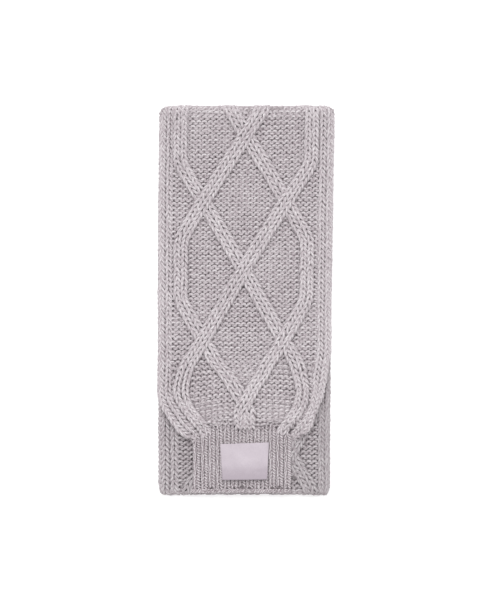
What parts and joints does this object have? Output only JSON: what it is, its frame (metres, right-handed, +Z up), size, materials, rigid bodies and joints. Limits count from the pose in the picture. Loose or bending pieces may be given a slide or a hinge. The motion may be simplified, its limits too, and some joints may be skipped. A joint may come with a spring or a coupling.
{
  "type": "knit scarf",
  "caption": "Chunky cable-knit scarf, folded flat in four, with a diamond lattice of cables, narrower ribbed cuffs at its ends and a blank satin label.",
  "frame": {"origin": "middle of the folded scarf's footprint, on the surface that it lies on", "axes": "+Y along the scarf from the cuffs to the outer fold, +X across it to the right as seen from above with the fold at the top, +Z up"},
  "size_m": [0.2098, 0.4658, 0.0281],
  "materials": {
    "knit_panel": "soft plied acrylic and wool yarn in a pale lilac grey melange, matt with a slight sheen along the plies",
    "knit_cuff": "the same yarn, knitted tighter in a narrow rib",
    "label_satin": "woven satin in a pale lilac, with a soft sheen and no print"
  },
  "bodies": {
    "root": {"folded_layers": "knit_panel", "lower_panel": "knit_panel", "under_cuff": "knit_cuff", "front_panel": "knit_panel", "front_cuff": "knit_cuff", "label": "label_satin"}
  },
  "joints": []
}
